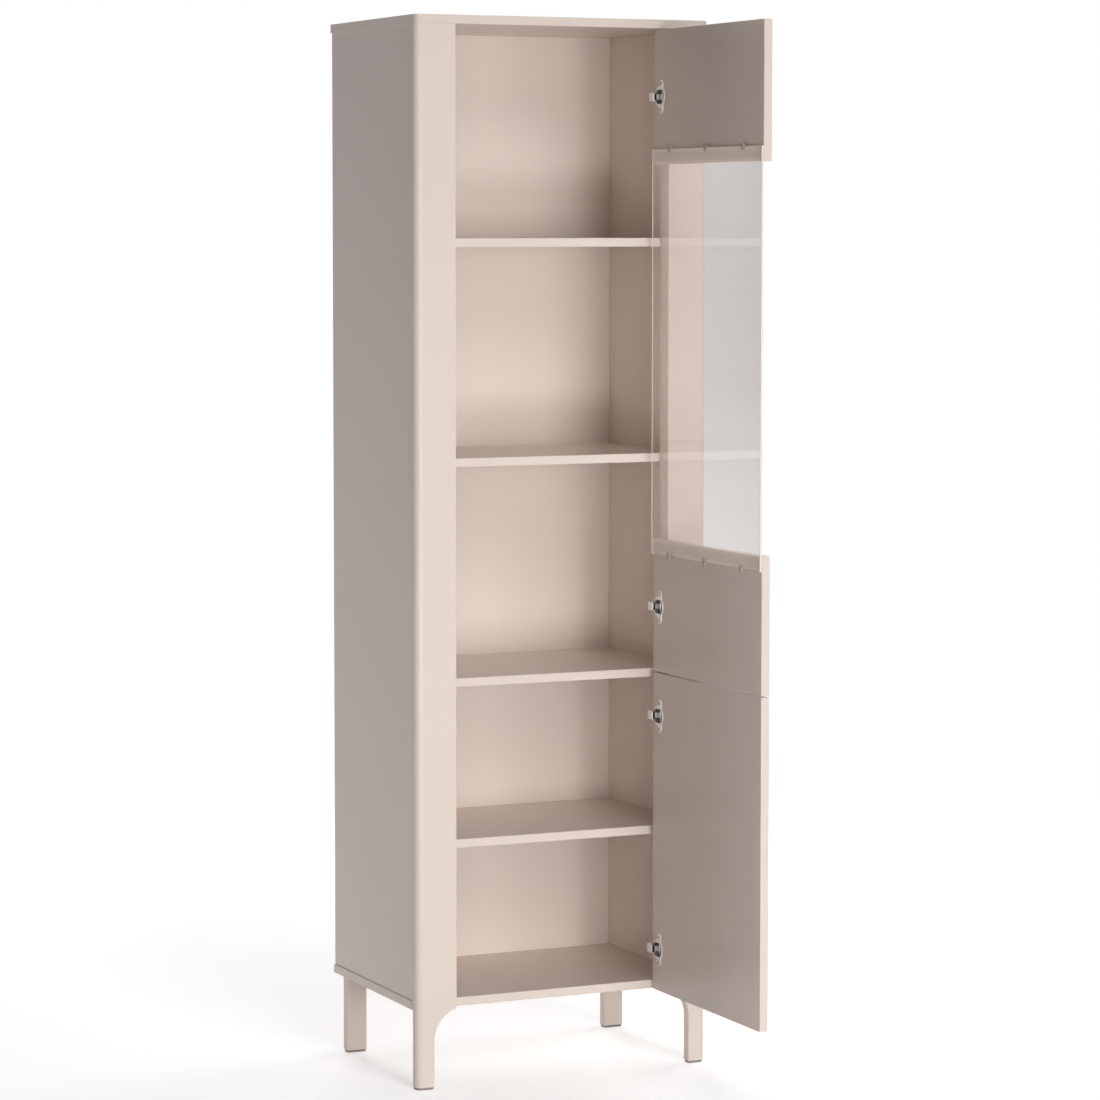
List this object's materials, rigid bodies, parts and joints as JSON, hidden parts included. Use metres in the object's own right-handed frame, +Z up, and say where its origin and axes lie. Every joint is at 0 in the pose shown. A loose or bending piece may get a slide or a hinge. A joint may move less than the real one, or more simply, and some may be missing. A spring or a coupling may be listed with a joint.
{
  "type": "bookcase with glass door",
  "caption": "Tall narrow cabinet on curved legs with shelves behind two stacked doors, the upper one part glass, shown swung open on concealed cup hinges.",
  "frame": {"origin": "on the floor, at the middle of the width, in the plane of the stiles' front faces", "axes": "+X to the right of someone facing the doors, +Y to the back, +Z up"},
  "size_m": [0.589, 0.8192, 1.95],
  "materials": {
    "lacquer": "satin beige lacquer on board",
    "back_board": "satin beige lacquered thin board",
    "clear_glass": "clear float glass, ground edges",
    "bonding_strip": "soft adhesive strip",
    "clip_plastic": "smooth",
    "glide_plastic": "dark, matte",
    "latch_plastic": "grey, matte",
    "cap_plastic": "beige, matte",
    "beech": "raw beech",
    "nickel": "bright nickel plate",
    "nickel_screw": "bright nickel plate",
    "zinc_steel": "zinc plated"
  },
  "bodies": {
    "carcass": {"top_panel": "lacquer", "bottom_panel": "lacquer", "side_panel_left": "lacquer", "side_panel_right": "lacquer", "back_panel": "back_board", "stile_left": "lacquer", "stile_right": "lacquer", "jamb_strip_left": "lacquer", "jamb_strip_right": "lacquer", "fixed_shelf": "lacquer", "upper_shelf_high": "lacquer", "upper_shelf_low": "lacquer", "lower_shelf": "lacquer", "rear_leg_left": "lacquer", "rear_leg_right": "lacquer", "front_leg_glides": "glide_plastic", "rear_leg_glides": "glide_plastic", "shelf_pins": "zinc_steel", "top_dowels": "beech", "stile_dowels": "beech", "leg_dowels": "beech", "case_screws": "zinc_steel", "leg_screws": "zinc_steel", "leg_screw_caps": "cap_plastic", "jamb_screws": "zinc_steel", "shelf_cams": "zinc_steel", "cam_bolts": "zinc_steel", "hinge_plate_upper_top": "nickel", "hinge_plate_upper_bottom": "nickel", "hinge_plate_lower_top": "nickel", "hinge_plate_lower_bottom": "nickel", "hinge_arm_upper_top": "nickel", "hinge_arm_upper_bottom": "nickel", "hinge_arm_lower_top": "nickel", "hinge_arm_lower_bottom": "nickel", "hinge_plate_screws": "nickel_screw", "hinge_arm_screws": "nickel_screw", "latch_housing_upper": "latch_plastic", "latch_housing_lower": "latch_plastic", "latch_spring_upper": "zinc_steel", "latch_spring_lower": "zinc_steel", "latch_screws": "zinc_steel"},
    "upper_door": {"door_panel_top": "lacquer", "door_panel_bottom": "lacquer", "glass_pane": "clear_glass", "glass_tape_top": "bonding_strip", "glass_tape_bottom": "bonding_strip", "glass_clips": "clip_plastic", "glass_clip_screws": "nickel_screw", "hinge_cup_upper_top": "nickel", "hinge_cup_upper_bottom": "nickel", "hinge_pins_upper": "nickel", "cup_screws_upper": "nickel_screw"},
    "lower_door": {"lower_door_panel": "lacquer", "hinge_cup_lower_top": "nickel", "hinge_cup_lower_bottom": "nickel", "hinge_pins_lower": "nickel", "cup_screws_lower": "nickel_screw"},
    "upper_plunger": {"latch_plunger_upper": "latch_plastic"},
    "lower_plunger": {"latch_plunger_lower": "latch_plastic"}
  },
  "joints": [
    {"name": "upper_door_hinge", "type": "hinge", "parent": "carcass", "child": "upper_door", "pos_m": [0.202, 0.0063, 1.33788], "axis": [0, 0, 1], "range_deg": [-90, 15]},
    {"name": "lower_door_hinge", "type": "hinge", "parent": "carcass", "child": "lower_door", "pos_m": [0.202, 0.0063, 0.44288], "axis": [0, 0, 1], "range_deg": [-90, 15]},
    {"name": "upper_latch_push", "type": "slide", "parent": "carcass", "child": "upper_plunger", "axis": [0, 1, 0], "range_m": [0, 0.003], "stiffness_N_per_m": 400, "deforming": ["latch_spring_upper"]},
    {"name": "lower_latch_push", "type": "slide", "parent": "carcass", "child": "lower_plunger", "axis": [0, 1, 0], "range_m": [0, 0.003], "stiffness_N_per_m": 400, "deforming": ["latch_spring_lower"]}
  ]
}
